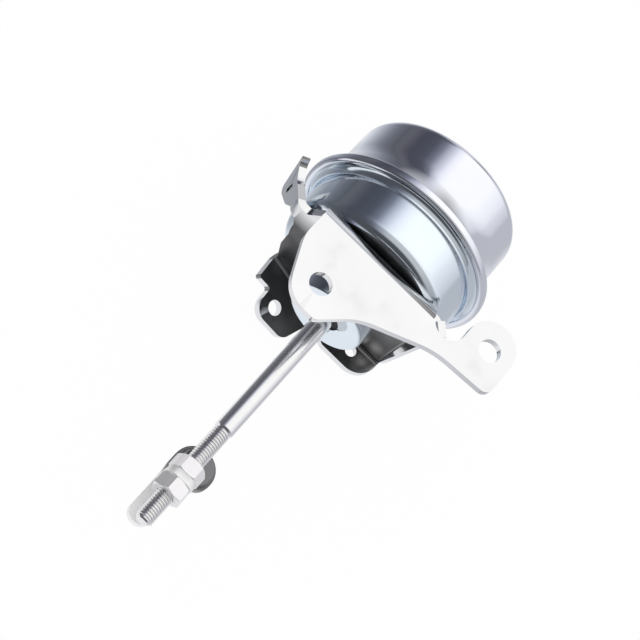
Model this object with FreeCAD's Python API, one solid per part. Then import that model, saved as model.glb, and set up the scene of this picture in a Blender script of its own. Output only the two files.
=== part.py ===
import FreeCAD, Part
import math
import os
from FreeCAD import Placement, Rotation, Vector

# A turbocharger's diaphragm actuator: two drawn cans crimped together, a bent sheet
# bracket under them, and a threaded rod that ends in two nuts, a link and its pin.
# Sizes are in millimetres. The pieces are drawn about the rod's axis: +Y runs from the
# rod's tip to the closed end, Y = 0 is the crimped rim, and +Z is the outside of the
# bracket's front wall. They are saved with the main bolt hole at the origin.

# Drawn cans
can_wall = 0.8
can_radius = 25.6
closed_end_height = 22.9
closed_end_corner = 3.6
flare_height = 8.5
flare_radius = 14.0
flare_foot_corner = 1.2
flare_foot_inset = 1.9
flange_width = 4.3
rim_corner = 0.95
hem_inset = 2.0
lower_can_depth = 16.9
shoulder_corner = 3.6
cove_radius = 2.2
neck_radius = 11.42
neck_corner = 1.0
neck_end_depth = 31.57
neck_hole_radius = 4.3

# Diaphragm and the stack that it carries
diaphragm_thickness = 0.5
diaphragm_wall_gap = 0.45
convolution_depth = 6.0
convolution_corner = 2.3
roll_width = 5.5
cup_corner = 1.8
skirt_gap = 0.3
skirt_end_depth = 1.0
cup_wall = 1.0
cup_top_height = 12.6
retainer_radius = 16.0
retainer_thickness = 1.5
retainer_edge_height = 1.6
retainer_inner_corner = 0.8
head_washer_radius = 6.5
head_washer_thickness = 1.0
bump_stop_radius = 7.5
bump_stop_gap = 0.3
bump_stop_taper = 1.2
bump_stop_corner = 1.5

# Push rod and its thread
rod_radius = 2.75
rod_stem_radius = 2.3
rod_collar_radius = 4.5
rod_collar_thickness = 2.0
rod_head_radius = 4.6
rod_head_height = 1.8
rod_head_corner = 1.2
thread_beyond_nuts = 9.1
thread_radius = 2.5
thread_runout = 0.6
thread_length = 32.0
tip_chamfer = 0.9
stack_clearance = 0.1
nut_clearance = 0.03
slide_clearance = 0.06

# Spring and its seats
wire_radius = 1.2
spring_mean_radius = 8.6
spring_turns = 7
ground_depth = 0.6
dust_washer_radius = 7.0
dust_washer_thickness = 1.0
seat_radius = 10.3
seat_thickness = 1.2
seat_hole_radius = 3.4
seat_collar_wall = 1.0
seat_collar_height = 2.0
spring_seat_gap = 0.3

# Nuts
nut_across_flats = 8.0
nut_height = 4.3
nut_chamfer_angle = 30.0
adjuster_turn = -17.0
lug_thickness = 2.2
lug_drop = 6.9

# Link, pin, washer and clip
link_thickness = 2.2
link_width = 6.6
link_offset = -0.9
link_tail = 21.3
link_shoulder = 4.0
eye_radius = 5.9
eye_flank_drop = 3.0
eye_flank_radius = 4.0
eye_x = 1.4
eye_depth = 85.2
lug_width = 8.4
lug_corner = 2.6
lug_height = 4.0
nut_to_head_gap = 0.4
pin_head_radius = 5.2
pin_head_thickness = 1.8
pin_radius = 3.0
pin_running_clearance = 0.05
pin_free_length = 10.0
pin_chamfer = 0.6
thrust_washer_radius = 5.0
thrust_washer_thickness = 0.6
clip_thickness = 0.7
clip_radius = 4.8
clip_groove_radius = 2.3
clip_play = 0.1

# Hose nipple
nipple_radius = 3.0
nipple_bore_radius = 1.6
nipple_length = 15.0
nipple_offset = 12.0
barb_rise = 0.55
barb_count = 3
barb_pitch = 3.2
nipple_collar_radius = 5.6
nipple_collar_height = 1.4

# Bracket sheet, base plate and front wall
sheet = 2.2
bend_radius = 1.0
neck_opening_gap = 1.6
front_bend_radius = 2.0
wall_face = 21.2
bend_left = -19.7
bend_right = 19.3
bolt_hole_radius = 3.2
main_hole_x = -8.2
main_hole_depth = 37.1
ear_hole_x = 35.8
ear_hole_depth = 16.2

# Front wall's outline: its straight left side, the lobe round the main hole, the long
# lower edge that rises to the right, the ear and the notch between ear and bend
wall_side_depth = 29.9
wall_side_radius = 12.0
lobe_left_reach = 4.65
lobe_right_reach = 4.8
lobe_end_reach = 8.7
lobe_radius = 8.6
lobe_toe_radius = 2.0
valley_x = 5.0
valley_depth = 36.5
valley_radius = 20.0
crest_x = 25.0
crest_depth = 27.6
crest_radius = 25.0
ear_toe_depth = 26.4
ear_toe_radius = 2.7
ear_half_width = 7.25
ear_corner = 7.2
ear_shift_x = -0.3
ear_shift_y = 1.1
notch_radius = 4.65
notch_depth = 18.4

# Base plate's left side, from the front bend to the arm behind
relief_z = 15.3
relief_x = -22.3
relief_corner = 0.8
waist_x = -22.4
waist_z = 0.6
waist_radius = 2.5
arm_shoulder_x = -21.9
arm_shoulder_z = -9.0
arm_shoulder_radius = 3.0

# Arm behind the rod, along its fold and down from it
arm_hole_radius = 2.2
arm_turn = 22.0
arm_start_x = -19.8
arm_start_z = -15.6
arm_width = 20.8
arm_side_drop = 4.6
arm_toe_inset = 2.4
arm_toe_drop = 12.4
arm_heel_x = 6.0
arm_heel_drop = 14.2
arm_step_x = 5.5
arm_step_drop = 6.0
arm_left_x = 0.6
arm_left_drop = 6.7
arm_hole_x = 10.4
arm_hole_drop = 8.4

# Tab behind the neck, gusset on the right and ear on the left
tab_left = 4.2
tab_width = 16.6
tab_bend_z = -18.6
tab_length = 6.8
tab_corner = 6.6
tab_left_corner = 2.0
tab_hole_x = 8.6
tab_hole_drop = 1.9
tab_hole_radius = 1.7
gusset_x = 19.9
gusset_fold = 45.0
gusset_length = 4.4
side_ear_lean = 30.0
side_ear_fold_x = -24.25
side_ear_root_z = 5.4
side_ear_root_width = 5.7
side_slot_x = 9.25
side_slot_y = 7.0
side_slot_length = 4.7
side_slot_width = 1.2

axis_y = Vector(0, 1, 0)
axis_z = Vector(0, 0, 1)
centre = Vector(0, 0, 0)
row_origin = Vector(main_hole_x, -main_hole_depth, wall_face)

# Outline of the ear on the left, as (along its fold, away from it, corner radius)
side_ear_outline = [
    (0, 0, 0),
    (3.9, 7.4, 8.0),
    (3.9, 12.0, 1.5),
    (0.8, 14.4, 0.4),
    (17.1, 9.7, 1.6),
    (11.0, 2.9, 10.0),
    (side_ear_root_width, 0, 0),
]


def corner_points(before, corner, after, radius):
    """Start, middle and end of the arc that rounds one corner of an outline."""
    inward = (corner - before).normalize()
    outward = (after - corner).normalize()
    turn = inward.getAngle(outward)
    reach = radius * math.tan(turn / 2)
    bisector = (outward - inward).normalize()
    depth = radius / math.cos(turn / 2) - radius
    return corner - inward * reach, corner + bisector * depth, corner + outward * reach


def outline(points, closed=True):
    """Wire in the XY plane through (x, y, corner radius) points."""
    places = [Vector(x, y, 0) for x, y, radius in points]
    count = len(points)
    arcs = []
    for index in range(count):
        radius = points[index][2]
        if radius == 0 or (not closed and index in (0, count - 1)):
            arcs.append((places[index], None, places[index]))
        else:
            before = places[index - 1]
            after = places[(index + 1) % count]
            arcs.append(corner_points(before, places[index], after, radius))
    edges = []
    for index in range(count):
        start, middle, end = arcs[index]
        if middle is not None:
            edges.append(Part.Arc(start, middle, end).toShape())
        if index < count - 1 or closed:
            following = arcs[(index + 1) % count][0]
            if end.distanceToPoint(following) > 1e-6:
                edges.append(Part.LineSegment(end, following).toShape())
    return Part.Wire(edges)


def turned(points):
    """Solid turned about the rod's axis from a closed (radius, y, corner) outline."""
    return Part.Face(outline(points)).revolve(centre, axis_y, 360)


def drawn(points, thickness):
    """Sheet turned about the axis; its thickness lies to the right of the open path."""
    face = outline(points, closed=False).makeOffset2D(thickness, 0, True, True)
    return face.revolve(centre, axis_y, 360)


def ring(inner, outer, low, high):
    return turned([(inner, low, 0), (outer, low, 0), (outer, high, 0), (inner, high, 0)])


def drill_y(x, z, radius, low, high):
    return Part.makeCylinder(radius, high - low, Vector(x, low, z), axis_y)


def drill_z(x, y, radius, low, high):
    return Part.makeCylinder(radius, high - low, Vector(x, y, low), axis_z)


# Sizes that several pieces share
rim_radius = can_radius + flange_width
flare_foot_radius = rim_radius - flare_foot_inset
hem_edge_radius = rim_radius - hem_inset
skirt_radius = can_radius - can_wall - roll_width
lug_depth = eye_depth + lug_drop
rod_tip_depth = lug_depth + lug_thickness + nut_height + thread_beyond_nuts
flange_top = (3 * can_wall + diaphragm_thickness) / 2
hem_inner_radius = rim_radius - can_wall
clamp_top = flange_top - can_wall
clamp_middle = clamp_top - diaphragm_thickness
clamp_bottom = clamp_middle - can_wall
hem_bottom = clamp_bottom - can_wall
inner_end = closed_end_height - can_wall
neck_floor = -neck_end_depth + can_wall
retainer_low = cup_top_height + diaphragm_thickness
washer_low = retainer_low + retainer_thickness
head_low = washer_low + head_washer_thickness
head_top = head_low + rod_head_height
upper_seat_top = cup_top_height - cup_wall
upper_seat_low = upper_seat_top - cup_wall
lower_seat_low = neck_floor + dust_washer_thickness
lower_seat_top = lower_seat_low + seat_thickness
base_top = -lower_can_depth
base_bottom = base_top - sheet
front_bend_z = wall_face - sheet - front_bend_radius
arm_angle = math.radians(arm_turn)
arm_outward = Vector(-math.sin(arm_angle), 0, -math.cos(arm_angle))
arm_end_x = arm_start_x + arm_width * math.cos(arm_angle)
arm_end_z = arm_start_z - arm_width * math.sin(arm_angle)
head_front = -(nut_across_flats / math.sqrt(3) + nut_to_head_gap)
link_front = head_front - pin_head_thickness
link_back = link_front - link_thickness
washer_back = link_back - thrust_washer_thickness
clip_front = washer_back - clip_play
clip_back = clip_front - clip_thickness


def upper_can():
    path = [
        (0, closed_end_height, 0),
        (can_radius, closed_end_height, closed_end_corner),
        (can_radius, flare_height, flare_radius),
        (flare_foot_radius, flange_top, flare_foot_corner),
        (rim_radius, flange_top, rim_corner),
        (rim_radius, hem_bottom, rim_corner),
        (hem_edge_radius, hem_bottom, 0),
    ]
    hole = drill_y(0, -nipple_offset, nipple_radius, inner_end - 1, closed_end_height + 1)
    return drawn(path, can_wall).cut(hole)


def lower_can():
    path = [
        (hem_inner_radius - stack_clearance, clamp_bottom, 0),
        (can_radius, clamp_bottom, cove_radius),
        (can_radius, base_top, shoulder_corner),
        (neck_radius, base_top, neck_corner),
        (neck_radius, -neck_end_depth, neck_corner),
        (neck_hole_radius, -neck_end_depth, 0),
    ]
    return drawn(path, can_wall)


def diaphragm():
    outside = can_radius - can_wall - diaphragm_wall_gap
    inside = skirt_radius + skirt_gap
    path = [
        (hem_inner_radius - stack_clearance, clamp_middle, 0),
        (outside, clamp_middle, cove_radius + can_wall + diaphragm_wall_gap),
        (outside, -convolution_depth, convolution_corner),
        (inside, -convolution_depth, convolution_corner),
        (inside, cup_top_height, convolution_corner / 2),
        (rod_stem_radius + stack_clearance, cup_top_height, 0),
    ]
    return drawn(path, diaphragm_thickness)


def piston_cup():
    path = [
        (rod_stem_radius + stack_clearance, cup_top_height, 0),
        (skirt_radius, cup_top_height, cup_corner),
        (skirt_radius, -skirt_end_depth, 0),
    ]
    return drawn(path, cup_wall)


def retainer_plate():
    """Dished plate over the diaphragm, with its edge turned up clear of the rubber."""
    path = [
        (retainer_radius, washer_low + retainer_edge_height, 0),
        (retainer_radius, retainer_low, retainer_thickness + retainer_inner_corner),
        (rod_stem_radius + stack_clearance, retainer_low, 0),
    ]
    return drawn(path, retainer_thickness)


def head_washer():
    return ring(rod_stem_radius + stack_clearance, head_washer_radius, washer_low, head_low)


def bump_stop():
    """Rubber cap over the rod's head, which meets the closed end at rest."""
    top = inner_end - bump_stop_gap
    recess = rod_head_radius + stack_clearance
    return turned([
        (0, head_top, 0),
        (recess, head_top, 0),
        (recess, head_low, 0),
        (bump_stop_radius, head_low, bump_stop_corner / 2),
        (bump_stop_radius - bump_stop_taper, top, bump_stop_corner),
        (0, top, 0),
    ])


def push_rod():
    """Rod with a riveted head, an upset collar, a plain shank and a threaded end."""
    tip = -rod_tip_depth
    return turned([
        (0, tip, 0),
        (thread_radius - tip_chamfer, tip, 0),
        (thread_radius, tip + tip_chamfer, 0),
        (thread_radius, tip + thread_length, 0),
        (rod_radius, tip + thread_length + thread_runout, 0),
        (rod_radius, upper_seat_low - rod_collar_thickness, 0),
        (rod_collar_radius, upper_seat_low - rod_collar_thickness, 0.5),
        (rod_collar_radius, upper_seat_low, 0),
        (rod_stem_radius, upper_seat_low, 0),
        (rod_stem_radius, head_low, 0),
        (rod_head_radius, head_low, 0),
        (rod_head_radius, head_top, rod_head_corner),
        (0, head_top, 0),
    ])


def upper_spring_seat():
    """Washer under the cup with a collar that centres the spring from inside."""
    collar = spring_mean_radius - wire_radius - spring_seat_gap
    return turned([
        (rod_stem_radius + stack_clearance, upper_seat_top, 0),
        (rod_stem_radius + stack_clearance, upper_seat_low, 0),
        (collar - seat_collar_wall, upper_seat_low, 0),
        (collar - seat_collar_wall, upper_seat_low - seat_collar_height, 0),
        (collar, upper_seat_low - seat_collar_height, 0.4),
        (collar, upper_seat_low, 0),
        (spring_mean_radius + wire_radius + cup_wall, upper_seat_low, 0.4),
        (spring_mean_radius + wire_radius + cup_wall, upper_seat_top, 0),
    ])


def lower_spring_seat():
    """Ring in the neck that traps the dust washer and carries the spring."""
    foot = dust_washer_radius + spring_seat_gap
    return turned([
        (foot, neck_floor, 0),
        (seat_radius, neck_floor, 0.6),
        (seat_radius, lower_seat_top, 0),
        (seat_hole_radius, lower_seat_top, 0),
        (seat_hole_radius, lower_seat_low, 0),
        (foot, lower_seat_low, 0),
    ])


def dust_washer():
    bore = rod_radius + slide_clearance
    return ring(bore, dust_washer_radius, neck_floor, lower_seat_low)


def return_spring():
    """Helical compression spring with both ends ground flat on their seats."""
    low = lower_seat_top + wire_radius - ground_depth
    height = upper_seat_low - lower_seat_top - 2 * (wire_radius - ground_depth)
    helix = Part.makeHelix(height / spring_turns, height, spring_mean_radius)
    section = Part.Wire(Part.Circle(
        Vector(spring_mean_radius, 0, 0), axis_y, wire_radius).toShape())
    coil = Part.Wire(helix).makePipeShell([section], True, True)
    coil.Placement = Placement(Vector(0, low, 0), Rotation(Vector(1, 0, 0), -90))
    room = drill_y(0, 0, seat_radius, lower_seat_top, upper_seat_low)
    return coil.common(room)


def hex_nut(low, turn):
    """Hexagon nut on the rod, chamfered on both ends; one flat faces the front at turn 0."""
    across_corners = nut_across_flats / math.sqrt(3)
    corners = []
    for index in range(7):
        angle = math.radians(60 * index + turn)
        corners.append(Vector(across_corners * math.cos(angle), low,
                              across_corners * math.sin(angle)))
    blank = Part.Face(Part.makePolygon(corners)).extrude(Vector(0, nut_height, 0))
    drop = (across_corners - nut_across_flats / 2) * math.tan(math.radians(nut_chamfer_angle))
    high = low + nut_height
    turned_nut = turned([
        (thread_radius + nut_clearance, low, 0),
        (nut_across_flats / 2, low, 0),
        (across_corners, low + drop, 0),
        (across_corners, high - drop, 0),
        (nut_across_flats / 2, high, 0),
        (thread_radius + nut_clearance, high, 0),
    ])
    return blank.common(turned_nut)


def rod_link():
    """Flat link behind the rod: an eye for the pin and a cross lug between the nuts."""
    left = link_offset - link_width / 2
    right = link_offset + link_width / 2
    end = link_width / 2 - 0.2
    top = eye_radius - 0.05
    flank = -eye_depth - eye_flank_drop
    plate_outline = outline([
        (left, -eye_depth - link_tail, end),
        (right, -eye_depth - link_tail, end),
        (right, -eye_depth - eye_radius, link_shoulder),
        (eye_x + eye_radius, flank, eye_flank_radius),
        (eye_x + eye_radius, -eye_depth + eye_radius, top),
        (eye_x - eye_radius, -eye_depth + eye_radius, top),
        (eye_x - eye_radius, flank, eye_flank_radius),
        (left, -eye_depth - eye_radius, link_shoulder),
    ])
    plate = Part.Face(plate_outline).extrude(Vector(0, 0, -link_thickness))
    plate.translate(Vector(0, 0, link_front))
    half = lug_width / 2
    lug_outline = outline([
        (-half, link_back + 0.5, 0),
        (half, link_back + 0.5, 0),
        (half, lug_height, lug_corner),
        (-half, lug_height, lug_corner),
    ])
    lug = Part.Face(lug_outline).extrude(Vector(0, 0, lug_thickness))
    lug.Placement = Placement(Vector(0, -lug_depth, 0), Rotation(Vector(1, 0, 0), 90))
    bore = pin_radius + pin_running_clearance
    eye_hole = drill_z(eye_x, -eye_depth, bore, link_back - 1, link_front + 1)
    rod_hole = drill_y(0, 0, thread_radius + stack_clearance,
                       -lug_depth - lug_thickness - 1, -lug_depth + 1)
    return plate.fuse(lug).cut(eye_hole).cut(rod_hole).removeSplitter()


def on_pin(points):
    """Solid turned about the pin's axis from (radius, z, corner) points."""
    solid = turned(points)
    solid.Placement = Placement(Vector(eye_x, -eye_depth, 0), Rotation(Vector(1, 0, 0), 90))
    return solid


def pivot_pin():
    """Headed pin in the link's eye; its free end stands out behind for the lever."""
    end = clip_back - pin_free_length
    return on_pin([
        (0, end, 0),
        (pin_radius - pin_chamfer, end, 0),
        (pin_radius, end + pin_chamfer, 0),
        (pin_radius, clip_back, 0),
        (clip_groove_radius, clip_back, 0),
        (clip_groove_radius, clip_front, 0),
        (pin_radius, clip_front, 0),
        (pin_radius, link_front, 0),
        (pin_head_radius, link_front, 0),
        (pin_head_radius, head_front, 0.6),
        (0, head_front, 0),
    ])


def thrust_washer():
    bore = pin_radius + stack_clearance
    return on_pin([
        (bore, washer_back, 0),
        (thrust_washer_radius, washer_back, 0),
        (thrust_washer_radius, link_back, 0),
        (bore, link_back, 0),
    ])


def pin_clip():
    """Open clip in the pin's groove."""
    disc = on_pin([
        (clip_groove_radius, clip_back, 0),
        (clip_radius, clip_back, 0),
        (clip_radius, clip_front, 0),
        (clip_groove_radius, clip_front, 0),
    ])
    mouth = 1.5 * clip_groove_radius
    gap = Part.makeBox(mouth, clip_radius + 1, clip_thickness + 2,
                       Vector(eye_x - mouth / 2, -eye_depth - clip_radius - 1, clip_back - 1))
    return disc.cut(gap)


def hose_nipple():
    """Barbed tube through the closed end."""
    root = closed_end_height + nipple_collar_height
    tip = closed_end_height + nipple_length
    points = [(nipple_bore_radius, inner_end, 0), (nipple_radius, inner_end, 0)]
    first = tip - barb_count * barb_pitch
    points.append((nipple_radius, max(first, root), 0))
    for index in range(barb_count):
        low = first + index * barb_pitch
        points.append((nipple_radius + barb_rise, low, 0))
        points.append((nipple_radius, low + barb_pitch, 0))
    points.append((nipple_bore_radius, tip, 0))
    tube = turned(points)
    tube.translate(Vector(0, 0, -nipple_offset))
    return tube


def nipple_collar():
    collar = turned([
        (nipple_radius, closed_end_height, 0),
        (nipple_collar_radius, closed_end_height, 0),
        (nipple_radius + 0.6, closed_end_height + nipple_collar_height, 0.8),
        (nipple_radius, closed_end_height + nipple_collar_height, 0),
    ])
    collar.translate(Vector(0, 0, -nipple_offset))
    return collar


def in_base_plane(points):
    """Plate of the bracket's sheet, from (x, z, corner) points at the cans' bottom."""
    plate = Part.Face(outline(points)).extrude(Vector(0, 0, sheet))
    plate.Placement = Placement(Vector(0, base_top, 0), Rotation(Vector(1, 0, 0), 90))
    return plate


def edge_frame(x, z, outward):
    """Frame on the plate's top edge: y leaves the plate, z is up, x runs along the edge."""
    along = outward.cross(axis_y)
    return Placement(Vector(x, base_top, z), Rotation(along, outward, axis_y, "XYZ"))


def bend(frame, width, angle, radius):
    """Bend across a frame's y direction, down for a positive angle; with the next frame."""
    pivot = Vector(0, 0, -sheet - radius) if angle > 0 else Vector(0, 0, radius)
    section = Part.Face(Part.makePolygon([
        centre, Vector(width, 0, 0), Vector(width, 0, -sheet), Vector(0, 0, -sheet), centre]))
    sector = section.revolve(pivot, Vector(1, 0, 0), -angle)
    sector.Placement = frame
    turn = Rotation(Vector(1, 0, 0), -angle)
    step = Placement(pivot - turn.multVec(pivot), turn)
    return sector, frame.multiply(step)


def leaf(frame, points, hole=None):
    """Flat leaf of sheet in a frame, from (x, y, corner) points, with one round hole."""
    plate = Part.Face(outline(points)).extrude(Vector(0, 0, -sheet))
    if hole:
        x, y, radius = hole
        plate = plate.cut(drill_z(x, y, radius, -sheet - 1, 1))
    plate.Placement = frame
    return plate


def base_plate():
    """Flat plate under the cans, open round the neck."""
    ear_end_z = side_ear_root_z + side_ear_root_width
    plate = in_base_plane([
        (bend_left, front_bend_z, 0),
        (bend_left, relief_z, relief_corner),
        (relief_x, ear_end_z, relief_corner),
        (side_ear_fold_x, ear_end_z, 0),
        (side_ear_fold_x, side_ear_root_z, 0),
        (waist_x, waist_z, waist_radius),
        (arm_shoulder_x, arm_shoulder_z, arm_shoulder_radius),
        (arm_start_x, arm_start_z, 0),
        (arm_end_x, arm_end_z, 0),
        (tab_left, tab_bend_z, 0),
        (gusset_x, tab_bend_z, 0),
        (gusset_x, front_bend_z, 0),
    ])
    opening = drill_y(0, 0, neck_radius + neck_opening_gap, base_bottom - 1, base_top + 1)
    return plate.cut(opening)


def front_wall():
    """Mounting face: a lobe round the main bolt hole and an ear beyond a round notch."""
    bend_end = base_bottom - front_bend_radius
    lobe_end = -main_hole_depth - lobe_end_reach
    ear_left = ear_hole_x + ear_shift_x - ear_half_width
    ear_right = ear_hole_x + ear_shift_x + ear_half_width
    ear_top = -ear_hole_depth + ear_shift_y + ear_half_width
    notch_x = ear_left - notch_radius
    notch_y = -notch_depth
    face = Part.Face(outline([
        (bend_left, bend_end, 0),
        (bend_left, -wall_side_depth, wall_side_radius),
        (main_hole_x - lobe_left_reach, lobe_end, lobe_radius),
        (main_hole_x + lobe_right_reach, lobe_end, lobe_toe_radius),
        (valley_x, -valley_depth, valley_radius),
        (crest_x, -crest_depth, crest_radius),
        (ear_right, -ear_toe_depth, ear_toe_radius),
        (ear_right, ear_top, ear_corner),
        (ear_left, ear_top, ear_corner),
        (ear_left, notch_y, 0),
        (bend_right, notch_y, 0),
        (bend_right, bend_end, 0),
    ]))
    wall = face.extrude(Vector(0, 0, sheet))
    wall.translate(Vector(0, 0, wall_face - sheet))
    frame = edge_frame(bend_right, front_bend_z, axis_z)
    sector = bend(frame, bend_right - bend_left, 90, front_bend_radius)[0]
    notch = drill_z(notch_x, notch_y, notch_radius, front_bend_z, wall_face + 1)
    return [wall.cut(notch), sector.cut(notch)]


def back_arm():
    """Arm behind the rod on the left, stepped in above its small hole."""
    frame = edge_frame(arm_start_x, arm_start_z, arm_outward)
    sector, hanging = bend(frame, arm_width, 90, bend_radius)
    plate = leaf(hanging, [
        (0, 0, 0),
        (arm_width, 0, 0),
        (arm_width, arm_side_drop, 3.0),
        (arm_width - arm_toe_inset, arm_toe_drop, 3.6),
        (arm_heel_x, arm_heel_drop, 4.2),
        (arm_step_x, arm_step_drop, 0.8),
        (arm_left_x, arm_left_drop, 0.8),
    ], (arm_hole_x, arm_hole_drop, arm_hole_radius))
    return [sector, plate]


def back_tab():
    """Tab behind the neck on the right, with one large round corner."""
    frame = edge_frame(tab_left, tab_bend_z, axis_z * -1)
    sector, hanging = bend(frame, tab_width, 90, bend_radius)
    plate = leaf(hanging, [
        (0, 0, 0),
        (tab_width, 0, 0),
        (tab_width, tab_length, tab_corner),
        (0, tab_length, tab_left_corner),
    ], (tab_hole_x, tab_hole_drop, tab_hole_radius))
    return [sector, plate]


def gusset():
    """Sloping flange on the right, from nothing behind to the front wall's edge."""
    width = front_bend_z - tab_bend_z
    frame = edge_frame(gusset_x, tab_bend_z, Vector(1, 0, 0))
    sector, sloping = bend(frame, width, gusset_fold, bend_radius)
    reach = width + front_bend_radius
    plate = leaf(sloping, [
        (0, 0, 0),
        (reach, 0, 0),
        (reach, gusset_length, 0),
    ])
    return [sector, plate]


def side_ear():
    """Ear on the left that stands up beside the cans and leans out, with a short slot."""
    frame = edge_frame(side_ear_fold_x, side_ear_root_z + side_ear_root_width, Vector(-1, 0, 0))
    sector, leaning = bend(frame, side_ear_root_width, side_ear_lean - 90, bend_radius)
    left = side_slot_x - side_slot_length / 2
    right = side_slot_x + side_slot_length / 2
    low = side_slot_y - side_slot_width / 2
    high = side_slot_y + side_slot_width / 2
    end = side_slot_width / 2 - 0.05
    slot = leaf(leaning, [(left, low, end), (right, low, end), (right, high, end), (left, high, end)])
    return [sector, leaf(leaning, side_ear_outline).cut(slot)]


def mounting_bracket():
    leaves = front_wall() + back_arm() + back_tab() + gusset() + side_ear()
    body = base_plate().fuse(leaves)
    for x, depth in ((main_hole_x, main_hole_depth), (ear_hole_x, ear_hole_depth)):
        body = body.cut(drill_z(x, -depth, bolt_hole_radius, 0, wall_face + 1))
    return body.removeSplitter()


def save(name, shape):
    if not shape.isValid() or len(shape.Solids) != 1:
        print("check", name, shape.isValid(), len(shape.Solids))
    solid = shape.Solids[0] if len(shape.Solids) == 1 else shape
    placed = solid.copy()
    placed.translate(row_origin * -1)
    placed.exportStep("parts/" + name + ".step")


def main():
    os.makedirs("parts", exist_ok=True)
    makers = [
        upper_can, lower_can, mounting_bracket, hose_nipple, nipple_collar, diaphragm,
        piston_cup, retainer_plate, head_washer, bump_stop, push_rod, upper_spring_seat,
        lower_spring_seat, dust_washer, return_spring, rod_link, pivot_pin, thrust_washer,
        pin_clip,
    ]
    for maker in makers:
        save(maker.__name__, maker())
    save("lock_nut", hex_nut(-lug_depth, 0))
    save("adjuster_nut", hex_nut(-lug_depth - lug_thickness - nut_height, adjuster_turn))


main()
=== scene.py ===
import math

import bmesh
import bpy
from mathutils import Matrix, Vector


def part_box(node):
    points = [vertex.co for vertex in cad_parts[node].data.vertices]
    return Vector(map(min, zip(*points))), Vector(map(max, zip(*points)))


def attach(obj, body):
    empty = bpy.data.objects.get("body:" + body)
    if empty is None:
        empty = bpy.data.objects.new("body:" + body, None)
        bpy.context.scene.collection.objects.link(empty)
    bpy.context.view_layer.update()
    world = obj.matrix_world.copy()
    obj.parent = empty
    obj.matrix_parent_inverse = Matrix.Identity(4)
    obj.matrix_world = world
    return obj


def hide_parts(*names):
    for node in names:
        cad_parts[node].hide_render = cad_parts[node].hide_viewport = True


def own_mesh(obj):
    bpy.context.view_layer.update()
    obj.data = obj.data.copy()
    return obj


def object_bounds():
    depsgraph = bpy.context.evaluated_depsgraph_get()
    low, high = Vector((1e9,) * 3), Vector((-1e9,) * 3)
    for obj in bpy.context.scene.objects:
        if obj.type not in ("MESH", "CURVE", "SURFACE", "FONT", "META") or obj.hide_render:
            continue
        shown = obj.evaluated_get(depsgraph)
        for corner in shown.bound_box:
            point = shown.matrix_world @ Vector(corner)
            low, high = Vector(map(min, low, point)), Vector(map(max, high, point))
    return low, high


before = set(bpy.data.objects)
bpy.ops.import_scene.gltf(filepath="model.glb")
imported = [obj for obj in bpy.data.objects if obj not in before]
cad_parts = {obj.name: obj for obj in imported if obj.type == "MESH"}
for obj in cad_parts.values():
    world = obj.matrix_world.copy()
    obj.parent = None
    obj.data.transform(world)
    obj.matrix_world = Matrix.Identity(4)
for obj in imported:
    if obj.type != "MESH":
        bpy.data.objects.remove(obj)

bl_info = {
    "name": "Turbo actuator",
    "version": (1, 0, 0),
    "blender": (4, 5, 0),
    "location": "View3D > Sidebar > Actuator",
    "description": "Dresses a packed turbocharger actuator: cans, bracket, rod, link and stage",
    "category": "Object",
}

MM = 0.001
CAD_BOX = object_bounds()
CAN_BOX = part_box("upper_can")
CAN_AXIS = (CAN_BOX[0] + CAN_BOX[1]) / 2
FLOOR_HEIGHT = CAD_BOX[0].z

# Meshes: steps in a quarter round and in a full turn, and what counts as sharp or level
ROUND_STEPS = 10
TURN_STEPS = 192
THREAD_STEPS = 28
RIDGE_STEPS = 8
BEVEL_STEPS = 2
BEVEL_ANGLE = math.radians(35)
SHARP_ANGLE = math.radians(28)
LEVEL_ANGLE = math.radians(0.4)
JOIN_DISTANCE = 0.002 * MM
AXIS_RADIUS = 0.001 * MM

# Faces broader than the flat width are shaded flat. On the bent sheet the thinnest are
# painted dark lines, a painted shade for the dark reflections along its edges, and long
# narrow ones get part of the painted shade and dullness.
FLAT_WIDTH = 1.2 * MM
LINE_WIDTH = 0.2 * MM
NARROW_DULL_AND_SHADE = 0.6

# Painted shade: the ring of the lower can over the bracket's plate, and the neck's side below it,
# are painted dark, standing in for the plate's shadow and dark reflection
SHADE_REACH = 2.4 * MM
SHADE_NECK_GAP = 2.0 * MM
SHADE_WALL_GAP = 2.7 * MM
NECK_SKIN = 0.3 * MM
NECK_SHADE = 0.45
CAN_SHADE = ("Y", 22.6, 21.4, (0.03, 0.03, 0.035))

# Painted light: spots in the bracket sheet's painted shade that are painted lighter, for patches
# of reflected light, as (point, radius, amount)
PAINTED_LIGHT_PATCHES = (
    ((27.0, 14.6, -40.8), 5.5, 0.9),
    ((24.0, 18.0, -35.3), 4.5, 0.55),
    ((0.6, 6.3, -43.0), 5.0, 0.25),
    ((-8.8, 18.0, -37.0), 5.0, 0.2),
)
# Painted shade: heights along Z, in millimetres, over which the bracket's sheet behind the front
# wall turns to its dark shaded tint, for its shadow and dark reflections
BRACKET_SHADE = (-9.0, -18.0)

# Uneven finish of the metals: fine grain from the tools and broad clouds of tone
GRAIN_STRETCH = (1.0, 0.06, 1.0)
GRAIN_DETAIL = 4.0
GRAIN_ROUGHNESS = 0.6
GRAIN_BUMP = 0.02 * MM
GRAIN_SPAN = (0.25, 0.75)
GLOSS_SPAN = (0.75, 1.3)
CLOUD_SCALE = 45.0
CLOUD_DETAIL = 3.0
CLOUD_SPAN = (0.3, 0.7)
WEAR = 0.06
# Painted light and shade: how the clouds and a shift move the painted shading, how much rougher it
# makes masked metal, and how dark the painted edge lines are
PAINTED_SHADING_CLOUD = -0.9
PAINTED_SHADING_SHIFT = 0.38
PAINTED_SHADING_GLOSS = 0.3
LINE_SHADE = 0.3

# Moulded rubber's matt grain
RUBBER_SCALE = 1600.0
RUBBER_DETAIL = 2.0
RUBBER_DEPTH = 0.2
RUBBER_BUMP = 0.05 * MM
RUBBER_ROUGHNESS = 0.62
RUBBER_TONES = ((0.3, 0.8), (0.8, 1.3))

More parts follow.
